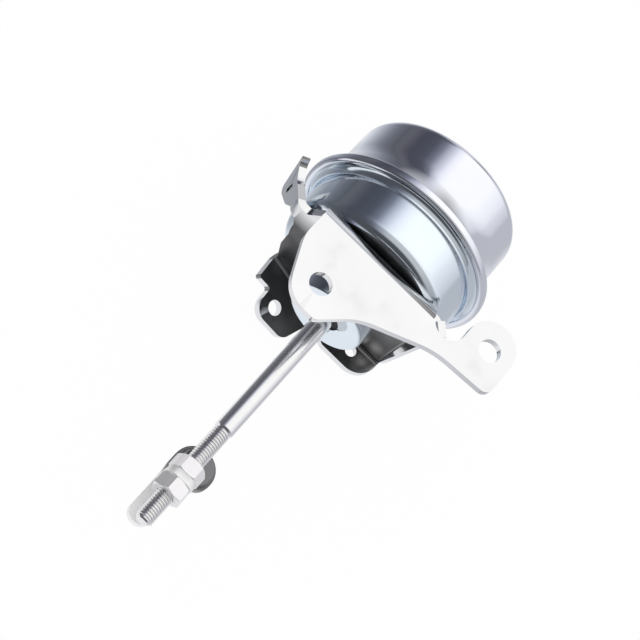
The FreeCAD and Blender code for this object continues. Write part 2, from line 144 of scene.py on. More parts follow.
# Small pieces that keep their solid's shape, as (node, piece, body, slot, finish, edge)
FITTINGS = (
    ("lock_nut", "lock_nut_plated", "rod", "nut_steel", "nut", 0.12),
    ("adjuster_nut", "adjuster_nut_plated", "rod", "nut_steel", "nut", 0.12),
    ("rod_link", "rod_link_ground", "rod", "link_steel", "ground_painted_light", 0.16),
    ("pivot_pin", "pivot_pin_turned", "pin", "pin_steel", "dark", 0.12),
    ("thrust_washer", "thrust_washer_ground", "pin", "link_steel", "ground_painted_light", 0.08),
    ("pin_clip", "pin_clip_stamped", "pin", "pin_steel", "dark", 0.08),
    ("hose_nipple", "hose_nipple_plated", "housing", "nipple_zinc", "zinc", 0.1),
    ("nipple_collar", "nipple_collar_plated", "housing", "nipple_zinc", "zinc", 0.1),
)
# Painted light: the link's dark ground steel turns near white along its Y towards the tongue,
# standing in for the tongue's brightly lit look
LINK_PAINTED_LIGHT = ("Y", -50.0, -57.0, (0.97, 0.97, 0.96))
PRESSED_NODES = ("piston_cup", "retainer_plate", "head_washer", "upper_spring_seat",
                 "lower_spring_seat")
RUBBER_NODES = ("bump_stop", "dust_washer")

# Floor, a hair below the object. Metal sees a glow on it that changes across the axis, to
# half a metre each side, and two patches, as (stops across, stops along, colour): a dark
# card and a pale strip.
FLOOR_GAP = 0.05 * MM
GLOW_REACH = 0.5
ALONG_START = -0.03
ALONG_END = 0.12
FLOOR_PAINT = (0.9, 0.9, 0.9)
FLOOR_GLOW = (
    (0.0, (0.11, 0.115, 0.13)),
    (0.32, (0.15, 0.16, 0.19)),
    (0.391, (0.22, 0.23, 0.27)),
    (0.42, (0.34, 0.36, 0.41)),
    (0.438, (0.47, 0.49, 0.54)),
    (0.459, (0.72, 0.74, 0.78)),
    (0.47, (0.90, 0.91, 0.94)),
    (0.523, (0.90, 0.91, 0.94)),
    (0.535, (0.76, 0.77, 0.81)),
    (0.565, (0.54, 0.55, 0.59)),
    (1.0, (0.54, 0.55, 0.59)),
)
FLOOR_PATCHES = (
    (((0.375, 0.0), (0.40, 1.0), (0.466, 1.0), (0.474, 0.0)),
     ((0.2, 0.0), (0.27, 0.45), (0.44, 0.45), (0.5, 0.3), (0.65, 0.3), (0.71, 0.0)),
     (0.04, 0.055, 0.075)),
    (((0.25, 0.0), (0.35, 1.0), (0.485, 1.0), (0.5, 0.0)),
     ((0.1, 1.0), (0.2, 0.0)),
     (0.9, 0.9, 0.92)),
)

# Room that metal sees: bands by the angle in degrees round the rod's axis, and how far
# they give way to dusk towards either end of the axis
SKY_STRENGTH = 1.08
SKY_BANDS = (
    (-180, (0.10, 0.105, 0.13)),
    (-100, (0.80, 0.81, 0.83)),
    (-60, (0.56, 0.57, 0.62)),
    (0, (0.60, 0.61, 0.66)),
    (28, (0.86, 0.87, 0.90)),
    (48, 1.0),
    (98, 1.0),
    (107, (0.86, 0.87, 0.93)),
    (117, (0.52, 0.54, 0.62)),
    (127, (0.17, 0.18, 0.23)),
    (138, (0.075, 0.08, 0.105)),
    (158, (0.06, 0.063, 0.085)),
    (172, (0.11, 0.11, 0.13)),
    (180, (0.12, 0.125, 0.14)),
)
SKY_ENDS = ((0.0, 1.0), (0.09, 1.0), (0.18, 0.5), (0.42, 0.5), (0.52, 0.0), (0.95, 0.0),
            (0.99, 0.9))
DUSK = ((0.0, (0.07, 0.072, 0.08)), (0.8, (0.8, 0.81, 0.84)))
DUSK_SLOPE = -2.5
DUSK_SHIFT = 0.3
DUSK_START = 0.3

# Lamp and camera
LAMP_OFFSET = Vector((0.25, 0.75, 0.5))
SENSOR_WIDTH = 36.0
LENS = 103.58
CLIP_START = 0.01
CAMERA_PLACE = (-0.024127, -0.232336, 0.399727)
CAMERA_RIGHT = Vector((0.7148, 0.5853, 0.3828))
CAMERA_DOWN = Vector((0.6963, -0.6468, -0.3112))


def distance(name, description, millimetres):
    """A length setting, given in millimetres and kept in metres."""
    return bpy.props.FloatProperty(
        name=name, description=description, default=millimetres * MM,
        subtype="DISTANCE", unit="LENGTH", precision=5)


def tint(name, description, colour):
    return bpy.props.FloatVectorProperty(
        name=name, description=description, default=colour, size=3,
        subtype="COLOR", min=0, max=1)


def share(name, description, value):
    return bpy.props.FloatProperty(
        name=name, description=description, default=value, subtype="FACTOR", min=0, max=1)


class CanSettings(bpy.types.PropertyGroup):
    wall: distance("Sheet", "Thickness of the cans' sheet", 0.8)
    radius: distance("Can radius", "Outside radius of both cans", 25.6)
    rim_radius: distance("Rim radius", "Outside radius of the crimped rim", 29.88)
    rim_half: distance("Half rim", "Half the height of the crimped rim", 1.45)
    rim_round: distance("Rim round", "Rounding of the crimped rim's edges", 0.95)
    hem: distance("Hem", "How far the hem reaches in under the rim", 2.0)
    hem_gap: distance("Hem gap", "Room between the hem and the lower can's flange", 0.1)
    top: distance("Closed end", "Height of the closed end over the rim's middle", 22.9)
    top_round: distance("Closed end round", "Rounding of the closed end", 3.6)
    flare: distance("Flare", "Height over the rim at which the upper can flares out", 8.5)
    flare_round: distance("Flare round", "Radius of the flare's sweep", 14.0)
    foot: distance("Flare foot", "How far the flare's foot lies inside the rim", 1.9)
    foot_round: distance("Foot round", "Rounding of the flare's foot", 1.2)
    cove: distance("Cove", "Rounding between the lower can and its flange", 2.2)
    depth: distance("Depth", "Depth of the lower can's shoulder below the rim", 16.9)
    shoulder: distance("Shoulder", "Rounding of the lower can's shoulder", 3.6)
    neck_radius: distance("Neck radius", "Outside radius of the neck", 11.42)
    neck_depth: distance("Neck depth", "Depth of the neck's end below the rim", 31.57)
    neck_round: distance("Neck round", "Rounding at both ends of the neck", 1.0)
    neck_hole: distance("Neck hole", "Radius of the rod's hole in the neck", 4.3)
    upper_tint: tint("Upper tint", "Zinc plate of the upper can", (0.87, 0.88, 0.935))
    lower_tint: tint("Lower tint", "Zinc plate of the lower can", (0.83, 0.90, 0.955))
    roughness: share("Roughness", "Roughness of the zinc plate", 0.13)


class RodSettings(bpy.types.PropertyGroup):
    radius: distance("Rod radius", "Radius of the plain shank", 2.75)
    thread_radius: distance("Thread radius", "Radius at the thread's crests", 2.5)
    ridge: distance("Ridge", "Radius of the thread's rounded ridge", 0.36)
    pitch: distance("Pitch", "Pitch of the thread", 0.8)
    thread_length: distance("Thread length", "Length of thread from the rod's tip", 32.0)
    runout: distance("Runout", "Length of the cone from thread to shank", 0.6)
    chamfer: distance("Chamfer", "Chamfer on the rod's tip", 0.9)
    stem: distance("Stem", "Radius of the stem in the piston stack", 2.3)
    collar: distance("Collar", "Radius of the collar under the piston stack", 4.5)
    collar_height: distance("Collar height", "Height of that collar", 2.0)
    collar_round: distance("Collar round", "Rounding of the collar's lower edge", 0.5)
    head: distance("Head", "Radius of the riveted head", 4.6)
    head_height: distance("Head height", "Height of the riveted head", 1.8)
    head_round: distance("Head round", "Rounding of the riveted head's top", 1.2)
    fine_edge: distance("Fine edge", "Rounding of the rod's inner corners", 0.1)
    broken_edge: distance("Broken edge", "Rounding of the collar's and head's flat edges", 0.2)
    blunt_edge: distance("Blunt edge", "Rounding of the shank's and tip's edges", 0.3)
    steel: tint("Steel", "Drawn steel of the rod", (0.90, 0.89, 0.89))
    roughness: share("Roughness", "Roughness of the drawn steel", 0.14)
    metallic: share("Metallic", "How far the rod reflects as bare metal", 0.94)


class BracketSettings(bpy.types.PropertyGroup):
    edge: distance("Edge", "Width of the rounding on the bracket's cut edges", 0.22)
    steel: tint("Steel", "Polished sheet steel", (0.84, 0.84, 0.84))
    # The broad width, the ear height and the shaded tint set the painted shade: faces broader than
    # the width and below the height are painted toward the dark tint, for the shadow and dark
    # reflections behind the front wall
    broad_width: distance("Broad width", "Least width of a face that is dull", 2.5)
    ear_height: distance("Ear height", "Height over the bolt hole above which all is bright", 20.0)
    shaded: tint("Shaded steel", "Darker sheet behind the front wall", (0.11, 0.11, 0.11))
    roughness: share("Roughness", "Roughness of the polished sheet", 0.10)


class StageSettings(bpy.types.PropertyGroup):
    floor_reach: distance("Floor", "Half the width of the floor", 3000.0)
    floor_white: share("Floor white", "How far the floor shows as plain white", 0.97)
    key_size: distance("Key size", "Diameter of the soft light overhead", 1200.0)
    key_power: bpy.props.FloatProperty(
        name="Key power", description="Power of the soft light overhead",
        default=0.25, min=0, unit="POWER")


def link(obj):
    bpy.context.scene.collection.objects.link(obj)
    return obj


def new_object(name, mesh):
    return link(bpy.data.objects.new(name, mesh))


def finish_piece(obj, body, nodes, material):
    """Put a finished piece on its body in place of its CAD nodes."""
    obj.data.materials.clear()
    obj.data.materials.append(material)
    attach(obj, body)
    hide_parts(*nodes)


def rounded(points):
    """Outline through (radius, y, corner radius) points, with its corners as arcs."""
    line = []
    for index, (x, y, corner) in enumerate(points):
        here = Vector((x, y))
        if corner == 0 or index in (0, len(points) - 1):
            line.append(here)
            continue
        inward = (here - Vector(points[index - 1][:2])).normalized()
        outward = (Vector(points[index + 1][:2]) - here).normalized()
        turn = inward.angle(outward)
        reach = corner * math.tan(turn / 2)
        start = here - inward * reach
        side = 1 if inward.cross(outward) > 0 else -1
        middle = start + Vector((-inward.y, inward.x)) * corner * side
        steps = max(2, round(ROUND_STEPS * turn / (math.pi / 2)))
        arm = start - middle
        for step in range(steps + 1):
            angle = side * turn * step / steps
            cosine, sine = math.cos(angle), math.sin(angle)
            line.append(middle + Vector((arm.x * cosine - arm.y * sine,
                                         arm.x * sine + arm.y * cosine)))
    return line


def lathed(name, line, closed=False):
    """Mesh turned about the rod's axis from (radius, y) points; y = 0 is the rim's middle."""
    cans = bpy.context.scene.actuator_cans
    middle = Vector((CAN_AXIS.x, CAN_BOX[0].y + cans.rim_half, CAN_AXIS.z))
    work = bmesh.new()
    rings = []
    for radius, height in line:
        if radius < AXIS_RADIUS:
            rings.append([work.verts.new(middle + Vector((0, height, 0)))])
            continue
        ring = []
        for step in range(TURN_STEPS):
            angle = 2 * math.pi * step / TURN_STEPS
            place = Vector((radius * math.cos(angle), height, radius * math.sin(angle)))
            ring.append(work.verts.new(middle + place))
        rings.append(ring)
    pairs = list(zip(rings, rings[1:]))
    if closed:
        pairs.append((rings[-1], rings[0]))
    for low, high in pairs:
        if len(low) == 1 and len(high) == 1:
            continue
        for step in range(TURN_STEPS):
            after = (step + 1) % TURN_STEPS
            if len(low) == 1:
                work.faces.new((low[0], high[after], high[step]))
            elif len(high) == 1:
                work.faces.new((low[step], low[after], high[0]))
            else:
                work.faces.new((low[step], low[after], high[after], high[step]))
    bmesh.ops.recalc_face_normals(work, faces=work.faces)
    mesh = bpy.data.meshes.new(name)
    work.to_mesh(mesh)
    work.free()
    mesh.shade_smooth()
    return new_object(name, mesh)


def soften(mesh):
    """Smooth shading with sharp edges kept where the faces turn by more than the limit."""
    mesh.shade_smooth()
    mesh.set_sharp_from_angle(angle=SHARP_ANGLE)


def apply_modifiers(obj):
    """Turn the object's modifiers into its mesh."""
    graph = bpy.context.evaluated_depsgraph_get()
    mesh = bpy.data.meshes.new_from_object(obj.evaluated_get(graph))
    obj.modifiers.clear()
    obj.data = mesh


def merged_copy(node, name):
    """Copy of a CAD node with its triangles joined, and flat regions as single faces."""
    work = bmesh.new()
    work.from_mesh(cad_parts[node].data)
    bmesh.ops.remove_doubles(work, verts=work.verts, dist=JOIN_DISTANCE)
    bmesh.ops.dissolve_limit(work, angle_limit=LEVEL_ANGLE, use_dissolve_boundaries=False,
                             verts=work.verts, edges=work.edges, delimit={"NORMAL"})
    mesh = bpy.data.meshes.new(name)
    work.to_mesh(mesh)
    work.free()
    return new_object(name, mesh)


def bevelled_copy(node, name, width):
    """Copy of a CAD node with its sharp edges rounded and its broad faces flat."""
    obj = merged_copy(node, name)
    bevel = obj.modifiers.new("edge", "BEVEL")
    bevel.width = width
    bevel.segments = BEVEL_STEPS
    bevel.limit_method = "ANGLE"
    bevel.angle_limit = BEVEL_ANGLE
    apply_modifiers(obj)
    soften(obj.data)
    for face in obj.data.polygons:
        face.use_smooth = breadth(obj.data, face)[0] < FLAT_WIDTH
    return obj


def breadth(mesh, face):
    """How broad a face is across its longest edge, and the length of that edge."""
    corners = [mesh.vertices[index].co for index in face.vertices]
    longest = max((end - start).length for start, end in zip(corners, corners[1:] + corners[:1]))
    return face.area / longest, longest


def mark_faces(mesh, name, values):
    """Store one number per face for a material to read."""
    mesh.attributes.new(name, "FLOAT", "FACE").data.foreach_set("value", values)


def solid(colour):
    """Colour with full alpha, from its three parts or from one grey level."""
    if isinstance(colour, float):
        colour = (colour, colour, colour)
    return (*colour, 1)


def shift(colour, factor):
    """Colour made lighter or darker by a factor."""
    return tuple(min(1.0, part * factor) for part in colour)


class Nodes:
    """Short way to add and join nodes in one tree."""

    def __init__(self, tree):
        self.tree = tree

    def add(self, kind, inputs=None, **settings):
        node = self.tree.nodes.new(kind)
        for name, value in settings.items():
            setattr(node, name, value)
        for name, value in (inputs or {}).items():
            self.put(node.inputs[name], value)
        return node

    def put(self, socket, value):
        if isinstance(value, bpy.types.NodeSocket):
            self.tree.links.new(value, socket)
        else:
            socket.default_value = value

    def math(self, operation, first, second=0.0, third=0.0):
        return self.add("ShaderNodeMath", {0: first, 1: second, 2: third},
                        operation=operation).outputs[0]

    def vector(self, operation, first, second, output="Vector"):
        return self.add("ShaderNodeVectorMath", {0: first, 1: second},
                        operation=operation).outputs[output]

    def parts(self, place):
        return self.add("ShaderNodeSeparateXYZ", {0: place}).outputs

    def noise(self, place, scale, detail, roughness=0.5):
        return self.add("ShaderNodeTexNoise", {
            "Vector": place, "Scale": scale, "Detail": detail,
            "Roughness": roughness}).outputs["Fac"]

    def span(self, value, start, end, low=0.0, high=1.0, **settings):
        """Value mapped from one range to another."""
        return self.add("ShaderNodeMapRange", {
            "Value": value, "From Min": start, "From Max": end, "To Min": low,
            "To Max": high}, **settings).outputs["Result"]

    def mix(self, amount, first, second):
        """Colour that goes from the first to the second."""
        return self.add("ShaderNodeMix", {0: amount, 6: first, 7: second},
                        data_type="RGBA").outputs[2]

    def marked(self, name):
        """Number that the mesh keeps for each face."""
        return self.add("ShaderNodeAttribute", attribute_name=name).outputs["Fac"]

    def ramp(self, fac, stops):
        node = self.add("ShaderNodeValToRGB", {"Fac": fac})
        band = node.color_ramp
        while len(band.elements) < len(stops):
            band.elements.new(0.5)
        for element, (place, colour) in zip(band.elements, stops):
            element.position = place
            element.color = solid(colour)
        return node.outputs["Color"]

    def bump(self, height, strength, reach):
        return self.add("ShaderNodeBump", {
            "Height": height, "Strength": strength, "Distance": reach}).outputs["Normal"]


def new_material(name):
    """New material, with its nodes, its shader's inputs and the place on the object."""
    material = bpy.data.materials.new(name)
    material.use_nodes = True
    nodes = Nodes(material.node_tree)
    shader = material.node_tree.nodes["Principled BSDF"].inputs
    return material, nodes, shader, nodes.add("ShaderNodeTexCoord").outputs["Object"]


def turned_place(nodes, place):
    """Distance from the rod's axis and place along it, for grain that runs round it."""
    parts = nodes.parts(nodes.vector("SUBTRACT", place, (CAN_AXIS.x, 0, CAN_AXIS.z)))
    across = nodes.math("SQRT", nodes.math(
        "ADD", nodes.math("POWER", parts["X"], 2.0), nodes.math("POWER", parts["Z"], 2.0)))
    return nodes.add("ShaderNodeCombineXYZ", {"X": across, "Y": parts["Y"], "Z": 0.0}).outputs[0]


def drawn_place(nodes, place):
    """Place shrunk along the rod, for grain that runs along it."""
    return nodes.add("ShaderNodeMapping", {"Vector": place, "Scale": GRAIN_STRETCH}).outputs[0]


def painted_shading_amount(nodes, place, cloud, painted_shading, patches):
    """How far the painted light or shade covers the metal along an axis, less where the painted
    lighter patches are.
    """
    axis, start, end = painted_shading[:3]
    along = nodes.span(nodes.parts(place)[axis], start * MM, end * MM)
    amount = nodes.math("ADD", along, nodes.math("MULTIPLY_ADD", cloud, PAINTED_SHADING_CLOUD, PAINTED_SHADING_SHIFT))
    for point, radius, strength in patches:
        apart = nodes.vector("DISTANCE", place, [part * MM for part in point], "Value")
        near = nodes.span(apart, 0.0, radius * MM, strength, 0.0,
                          interpolation_type="SMOOTHSTEP")
        amount = nodes.math("SUBTRACT", amount, near)
    return amount


def metal(name, colour, roughness, lines=900.0, line_depth=0.05, around=False,
          painted_shading=None, mask=None, metallic=1.0, patches=(), edge_line=None):
    """Bright metal with fine lines left by its tools, uneven gloss and faint colour drift.

    Painted shading, given as (axis, from, to, colour) in millimetres, is painted light or shade:
    the metal turns to that colour along the axis, and only as far as the mask, a face attribute,
    lets it. Patches of (point, radius, amount) are painted lighter. An edge line is a face
    attribute that marks strips painted darker as shade.
    """
    material, nodes, shader, place = new_material(name)
    shader["Metallic"].default_value = metallic
    grain_place = (turned_place if around else drawn_place)(nodes, place)
    grain = nodes.noise(grain_place, lines, GRAIN_DETAIL, GRAIN_ROUGHNESS)
    cloud = nodes.noise(place, CLOUD_SCALE, CLOUD_DETAIL)
    tone = nodes.ramp(cloud, list(zip(CLOUD_SPAN, (shift(colour, 1 - WEAR), colour))))
    gloss = nodes.span(grain, *GRAIN_SPAN, *(roughness * part for part in GLOSS_SPAN))
    if painted_shading:
        amount = painted_shading_amount(nodes, place, cloud, painted_shading, patches)
        if mask:
            amount = nodes.math("MULTIPLY", amount, nodes.marked(mask))
            gloss = nodes.math("ADD", gloss, nodes.math("MULTIPLY", amount, PAINTED_SHADING_GLOSS))
        tone = nodes.mix(amount, tone, solid(painted_shading[3]))
    if edge_line:
        # Painted shade: the marked thin edge strips are painted darker, for the dark reflections
        # along the edges
        tone = nodes.mix(nodes.marked(edge_line), tone, solid(shift(colour, LINE_SHADE)))
    nodes.put(shader["Base Color"], tone)
    nodes.put(shader["Roughness"], gloss)
    nodes.put(shader["Normal"], nodes.bump(grain, line_depth, GRAIN_BUMP))
    return material


def rubber(name, colour):
    """Moulded black rubber with a fine matt grain."""
    material, nodes, shader, place = new_material(name)
    grain = nodes.noise(place, RUBBER_SCALE, RUBBER_DETAIL)
    tones = [(stop, shift(colour, factor)) for stop, factor in RUBBER_TONES]
    nodes.put(shader["Base Color"], nodes.ramp(grain, tones))
    shader["Roughness"].default_value = RUBBER_ROUGHNESS
    nodes.put(shader["Normal"], nodes.bump(grain, RUBBER_DEPTH, RUBBER_BUMP))
    return material


class ACTUATOR_OT_cans(bpy.types.Operator):
    """Make the two drawn and zinc-plated cans"""
    bl_idname = "actuator.cans"
    bl_label = "Cans"

    def execute(self, context):
        size = context.scene.actuator_cans
        self.can("upper_can_plated", "upper_can", [
            (0, size.top, 0),
            (size.radius, size.top, size.top_round),
            (size.radius, size.flare, size.flare_round),
            (size.rim_radius - size.foot, size.rim_half, size.foot_round),
            (size.rim_radius, size.rim_half, size.rim_round),
            (size.rim_radius, -size.rim_half, size.rim_round),
            (size.rim_radius - size.hem, -size.rim_half, 0),
        ], size, size.upper_tint)
        flange = -size.rim_half + size.wall
        self.can("lower_can_plated", "lower_can", [
            (size.rim_radius - size.wall - size.hem_gap, flange, 0),
            (size.radius, flange, size.cove),
            (size.radius, -size.depth, size.shoulder),
            (size.neck_radius, -size.depth, size.neck_round),
            (size.neck_radius, -size.neck_depth, size.neck_round),
            (size.neck_hole, -size.neck_depth, 0),
        ], size, size.lower_tint)
        return {"FINISHED"}

    def can(self, name, node, points, size, colour):
        obj = lathed(name, self.walled(rounded(points), size.wall), closed=points[0][0] > 0)
        self.mark_shaded_shoulder(obj.data, size)
        # The marked ring is painted almost black along the can's axis: painted shade for the
        # bracket's plate
        finish = metal(name + "_finish", tuple(colour), size.roughness, lines=2600.0,
                       line_depth=0.035, around=True, mask="shoulder", painted_shading=CAN_SHADE)
        finish_piece(obj, "housing", [node], finish)

    def mark_shaded_shoulder(self, mesh, size):
        """Mark the ring over the bracket's plate for painted shade, which stands in for the
        plate's shadow and dark reflection, and the neck's side below it partly.
        """
        level = CAN_BOX[0].y + size.rim_half - size.depth
        values = []
        for face in mesh.polygons:
            across = Vector((face.center.x - CAN_AXIS.x, face.center.z - CAN_AXIS.z)).length
            near = abs(face.center.y - level) < SHADE_REACH
            ring = size.neck_radius + SHADE_NECK_GAP < across < size.radius - SHADE_WALL_GAP
            neck = abs(across - size.neck_radius) < NECK_SKIN
            below = face.center.y < level - SHADE_NECK_GAP
            values.append(1.0 if near and ring else NECK_SHADE if neck and below else 0.0)
        mark_faces(mesh, "shoulder", values)

    def walled(self, line, wall):
        """Closed section of sheet whose outside follows the line."""
        inside = []
        for index, here in enumerate(line):
            before = line[max(index - 1, 0)]
            after = line[min(index + 1, len(line) - 1)]
            along = (after - before).normalized()
            inside.append(here + Vector((along.y, -along.x)) * wall)
        inside[0].x = max(inside[0].x, 0.0)
        return line + inside[::-1]


class ACTUATOR_OT_bracket(bpy.types.Operator):
    """Make the bent sheet bracket with its edges rounded by tumbling"""
    bl_idname = "actuator.bracket"
    bl_label = "Bracket"

    def execute(self, context):
        size = context.scene.actuator_bracket
        obj = bevelled_copy("mounting_bracket", "bracket_sheet", size.edge)
        self.mark_sheet(obj.data, size.broad_width, size.ear_height)
        # The sheet behind the front wall is painted dark along Z as painted shade, lighter in the
        # painted light patches, with painted dark edge lines
        finish = metal("polished_sheet", tuple(size.steel), size.roughness, lines=500.0,
                       line_depth=0.012, painted_shading=("Z", *BRACKET_SHADE, tuple(size.shaded)),
                       mask="broad", edge_line="line", patches=PAINTED_LIGHT_PATCHES)
        finish_piece(obj, "housing", ["mounting_bracket"], finish)
        return {"FINISHED"}

    def mark_sheet(self, mesh, width, ear_height):
        """Mark the sheet's broad faces, all but the side ear's, for painted shade and dullness,
        and its edges' painted dark lines.
        """
        dullness_and_painted_shade = []
        lines = []
        for face in mesh.polygons:
            across, longest = breadth(mesh, face)
            lines.append(float(across < LINE_WIDTH))
            narrow = NARROW_DULL_AND_SHADE if longest > 3 * width and across < width / 3 else 0.0
            dull_and_painted_shade = 1.0 if across > width else narrow
            dullness_and_painted_shade.append(dull_and_painted_shade * float(face.center.y < ear_height))
        mark_faces(mesh, "broad", dullness_and_painted_shade)
        mark_faces(mesh, "line", lines)


class ACTUATOR_OT_rod(bpy.types.Operator):
    """Make the push rod with its rolled thread"""
    bl_idname = "actuator.rod"
    bl_label = "Push rod"

    def execute(self, context):
        size = context.scene.actuator_rod
        cans = context.scene.actuator_cans
        rim = CAN_BOX[0].y + cans.rim_half
        low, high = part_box("push_rod")
        tip = low.y - rim
        head_top = high.y - rim
        head_low = head_top - size.head_height
        seat_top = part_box("upper_spring_seat")[1].y - rim - cans.wall
        collar_top = min(seat_top, head_low)
        collar_low = collar_top - size.collar_height
        core = size.thread_radius - size.ridge
        root = tip + size.thread_length
        line = rounded([
            (0, tip, 0),
            (core - size.chamfer / 2, tip, size.fine_edge),
            (core, tip + size.chamfer / 2, size.blunt_edge),
            (core, root, size.fine_edge),
            (size.radius, root + size.runout, size.blunt_edge),
            (size.radius, collar_low, size.fine_edge),
            (size.collar, collar_low, size.collar_round),
            (size.collar, collar_top, size.broken_edge),
            (size.stem, collar_top, size.fine_edge),
            (size.stem, head_low, size.fine_edge),
            (size.head, head_low, size.broken_edge),
            (size.head, head_top, size.head_round),
            (0, head_top, 0),
        ])
        finish = metal("drawn_rod", tuple(size.steel), size.roughness, lines=1500.0,
                       metallic=size.metallic)
        obj = lathed("push_rod_threaded", line)
        soften(obj.data)
        obj.data.materials.append(finish)
        start = Vector((CAN_AXIS.x, low.y + size.chamfer, CAN_AXIS.z))
        self.roll_thread(obj, size, start, finish)
        apply_modifiers(obj)
        finish_piece(obj, "rod", ["push_rod"], finish)
        return {"FINISHED"}

    def roll_thread(self, obj, size, start, material):
        """Geometry Nodes: a rounded ridge that winds round the rod's core."""
        tree = bpy.data.node_groups.new("rolled_thread", "GeometryNodeTree")
        face = tree.interface
        face.new_socket("Geometry", in_out="INPUT", socket_type="NodeSocketGeometry")
        for name in ("Pitch", "Length", "Winding Radius", "Ridge Radius"):
            face.new_socket(name, in_out="INPUT", socket_type="NodeSocketFloat")
        face.new_socket("Start", in_out="INPUT", socket_type="NodeSocketVector")
        face.new_socket("Material", in_out="INPUT", socket_type="NodeSocketMaterial")
        face.new_socket("Geometry", in_out="OUTPUT", socket_type="NodeSocketGeometry")
        nodes = Nodes(tree)
        given = nodes.add("NodeGroupInput").outputs
        turns = nodes.math("DIVIDE", given["Length"], given["Pitch"])
        spiral = nodes.add("GeometryNodeCurveSpiral", {
            "Resolution": THREAD_STEPS, "Rotations": turns, "Height": given["Length"],
            "Start Radius": given["Winding Radius"], "End Radius": given["Winding Radius"]})
        ridge = nodes.add("GeometryNodeCurvePrimitiveCircle", {
            "Resolution": RIDGE_STEPS, "Radius": given["Ridge Radius"]})
        swept = nodes.add("GeometryNodeCurveToMesh", {
            "Curve": spiral.outputs[0], "Profile Curve": ridge.outputs[0], "Fill Caps": True})
        placed = nodes.add("GeometryNodeTransform", {
            "Geometry": swept.outputs[0], "Translation": given["Start"],
            "Rotation": (-math.pi / 2, 0, 0)})
        smooth = nodes.add("GeometryNodeSetShadeSmooth", {"Geometry": placed.outputs[0]})
        joined = nodes.add("GeometryNodeJoinGeometry")
        for source in (smooth.outputs[0], given["Geometry"]):
            tree.links.new(source, joined.inputs[0])
        real = nodes.add("GeometryNodeRealizeInstances", {"Geometry": joined.outputs[0]})
        painted = nodes.add("GeometryNodeSetMaterial", {
            "Geometry": real.outputs[0], "Material": given["Material"]})
        nodes.add("NodeGroupOutput", {"Geometry": painted.outputs[0]})
        modifier = obj.modifiers.new("thread", "NODES")
        modifier.node_group = tree
        values = {
            "Pitch": size.pitch,
            "Length": size.thread_length - size.chamfer,
            "Winding Radius": size.thread_radius - size.ridge,
            "Ridge Radius": size.ridge,
            "Start": start,
            "Material": material,
        }
        for item in face.items_tree:
            if item.in_out == "INPUT" and item.name in values:
                modifier[item.identifier] = values[item.name]


class ACTUATOR_OT_fittings(bpy.types.Operator):
    """Make the nuts, link, pin and nipple from the solids, with their edges broken"""
    bl_idname = "actuator.fittings"
    bl_label = "Fittings"

    def execute(self, context):
        finishes = {
            "nut": metal("plated_nut", (0.95, 0.93, 0.94), 0.4, lines=700.0, metallic=0.72),
            # Dark ground steel for the link and washer, with the tongue painted near white as
            # painted light
            "ground_painted_light": metal("ground_link_painted_light", (0.16, 0.16, 0.165), 0.42, line_depth=0.06,
                            metallic=0.5, painted_shading=LINK_PAINTED_LIGHT),
            "dark": metal("dark_pin", (0.20, 0.20, 0.205), 0.2, lines=700.0, line_depth=0.08),
            "zinc": metal("plated_tube", (0.86, 0.88, 0.91), 0.18),
        }
        for node, name, body, slot, finish, edge in FITTINGS:
            obj = bevelled_copy(node, name, edge * MM)
            finish_piece(obj, body, [node], finishes[finish])
        return {"FINISHED"}


class ACTUATOR_OT_inside(bpy.types.Operator):
    """Give the spring, piston and rubber parts inside the cans their finishes"""
    bl_idname = "actuator.inside"
    bl_label = "Inside parts"

    def execute(self, context):
        pressed = metal("pressed_steel", (0.55, 0.55, 0.55), 0.32, lines=600.0, line_depth=0.1)
        wire = metal("spring_wire", (0.42, 0.43, 0.45), 0.28, line_depth=0.1)
        black = rubber("black_rubber_moulded", (0.03, 0.03, 0.032))
        for names, finish in ((PRESSED_NODES, pressed), (RUBBER_NODES, black)):
            for name in names:
                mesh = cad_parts[name].data
                mesh.materials.clear()
                mesh.materials.append(finish)
        rim = CAN_BOX[0].y + context.scene.actuator_cans.rim_half
        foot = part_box("return_spring")[0].y
        self.folding("return_spring", "return_spring_wire", "spring_steel", foot, wire)
        self.folding("diaphragm", "diaphragm_moulded", "black_rubber", rim, black)
        return {"FINISHED"}

    def folding(self, node, name, slot, foot, finish):
        """A piece copied from its CAD node, smoothed and put on the housing with its finish and a
        mesh of its own.
        """
        obj = merged_copy(node, name)
        soften(obj.data)
        finish_piece(obj, "housing", [node], finish)
        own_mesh(obj)


